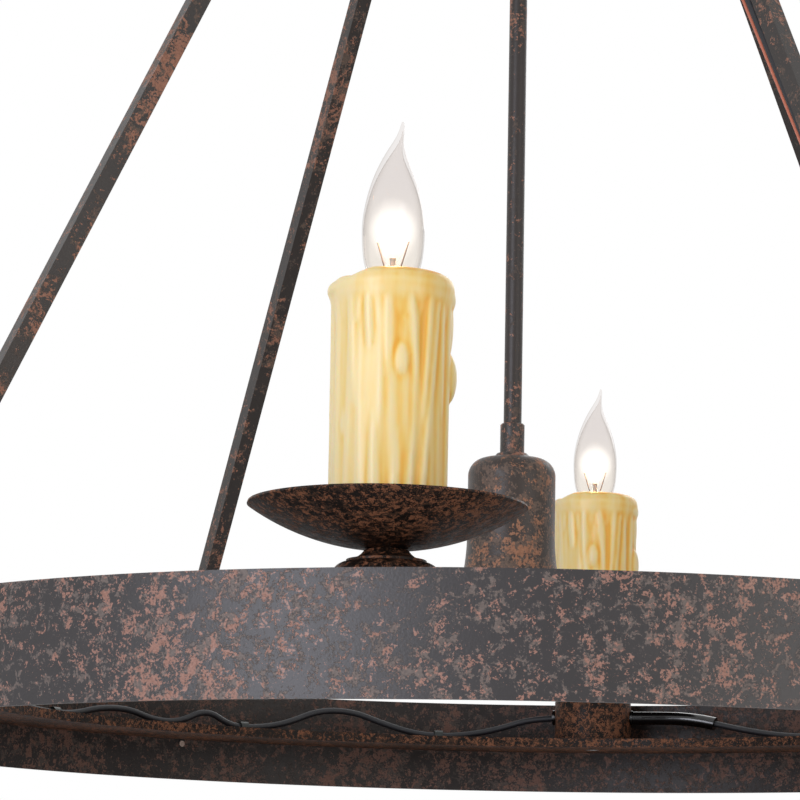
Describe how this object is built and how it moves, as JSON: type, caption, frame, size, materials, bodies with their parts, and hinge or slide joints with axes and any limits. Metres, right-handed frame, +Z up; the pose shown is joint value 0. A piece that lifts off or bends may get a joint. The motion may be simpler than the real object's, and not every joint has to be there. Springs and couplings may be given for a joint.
{
  "type": "ring chandelier",
  "caption": "Round iron ring chandelier hung from slanted struts, with candle lamps on drip pans, a centre bell downlight and a ceiling canopy.",
  "frame": {"origin": "middle of the ceiling strap's upper face, level with the ceiling", "axes": "+Z up, the fixture hangs below; a candle stands on the -Y side and the struts lie between the candles"},
  "size_m": [0.8822, 0.8822, 1.0317],
  "materials": {
    "bronze_paint": "dark bronze paint with a mottled copper and taupe overspray, satin",
    "bare_steel": "zinc plated steel, satin",
    "screw_steel": "plated steel screw",
    "candle_resin": "cast resin with candle drips, honey and ivory",
    "socket_phenolic": "black moulded phenolic",
    "lamp_glass": "clear blown glass",
    "lamp_base_metal": "rolled nickel shell",
    "filament_wire": "glass stem and support wires with a glowing filament",
    "reflector_glass": "coated reflector",
    "lens_glass": "pressed lens glass",
    "cord_jacket": "dull black cord jacket",
    "ground_jacket": "copper coloured wire",
    "sleeve_vinyl": "glossy black sleeve",
    "tie_nylon": "black nylon",
    "bushing_nylon": "glossy black nylon"
  },
  "bodies": {
    "ceiling": {"crossbar_strap": "bare_steel", "strap_nipple": "bare_steel", "strap_nut": "bare_steel", "canopy": "bronze_paint", "collar_ring": "bronze_paint", "canopy_loop": "bronze_paint"},
    "link": {"chain_link": "bronze_paint"},
    "frame": {"hub_loop": "bronze_paint", "hub_body": "bronze_paint", "strut_1": "bronze_paint", "strut_2": "bronze_paint", "strut_3": "bronze_paint", "strut_4": "bronze_paint", "outer_band": "bronze_paint", "ledge_ring": "bronze_paint", "cup_caps": "bronze_paint", "stem_tube": "bronze_paint", "stem_coupling": "bronze_paint", "stem_washer": "bronze_paint", "bell_shade": "bronze_paint", "candle_nipples": "bare_steel", "nipple_nuts": "bare_steel", "strut_screws": "screw_steel", "candle_cup_1": "bronze_paint", "drip_pan_1": "bronze_paint", "candle_cover_1": "candle_resin", "candle_socket_1": "socket_phenolic", "candle_cup_2": "bronze_paint", "drip_pan_2": "bronze_paint", "candle_cover_2": "candle_resin", "candle_socket_2": "socket_phenolic", "candle_cup_3": "bronze_paint", "drip_pan_3": "bronze_paint", "candle_cover_3": "candle_resin", "candle_socket_3": "socket_phenolic", "candle_cup_4": "bronze_paint", "drip_pan_4": "bronze_paint", "candle_cover_4": "candle_resin", "candle_socket_4": "socket_phenolic", "cup_bushings": "bushing_nylon", "downlight_holder": "socket_phenolic", "ring_cords": "cord_jacket", "supply_cord": "cord_jacket", "ground_wire": "ground_jacket", "wire_sleeves": "sleeve_vinyl", "cord_ties": "tie_nylon"},
    "candle_lamp_1": {"bulb_base_1": "lamp_base_metal", "bulb_glass_1": "lamp_glass", "bulb_filament_1": "filament_wire"},
    "candle_lamp_2": {"bulb_base_2": "lamp_base_metal", "bulb_glass_2": "lamp_glass", "bulb_filament_2": "filament_wire"},
    "candle_lamp_3": {"bulb_base_3": "lamp_base_metal", "bulb_glass_3": "lamp_glass", "bulb_filament_3": "filament_wire"},
    "candle_lamp_4": {"bulb_base_4": "lamp_base_metal", "bulb_glass_4": "lamp_glass", "bulb_filament_4": "filament_wire"},
    "spot_lamp": {"downlight_lamp": "reflector_glass", "downlight_lens": "lens_glass"}
  },
  "joints": [
    {"name": "link_swing", "type": "hinge", "parent": "ceiling", "child": "link", "pos_m": [0, 0, -0.06225], "axis": [1, 0, 0], "range_deg": [-25, 25]},
    {"name": "frame_swing", "type": "hinge", "parent": "link", "child": "frame", "pos_m": [0, 0, -0.1006], "axis": [0, 1, 0], "range_deg": [-25, 25]},
    {"name": "candle_lamp_1_lift", "type": "slide", "parent": "frame", "child": "candle_lamp_1", "axis": [0, 0, 1], "range_m": [0, 0.045]},
    {"name": "candle_lamp_2_lift", "type": "slide", "parent": "frame", "child": "candle_lamp_2", "axis": [0, 0, 1], "range_m": [0, 0.045]},
    {"name": "candle_lamp_3_lift", "type": "slide", "parent": "frame", "child": "candle_lamp_3", "axis": [0, 0, 1], "range_m": [0, 0.045]},
    {"name": "candle_lamp_4_lift", "type": "slide", "parent": "frame", "child": "candle_lamp_4", "axis": [0, 0, 1], "range_m": [0, 0.045]},
    {"name": "spot_lamp_release", "type": "slide", "parent": "frame", "child": "spot_lamp", "axis": [0, 0, -1], "range_m": [0, 0.06]}
  ]
}
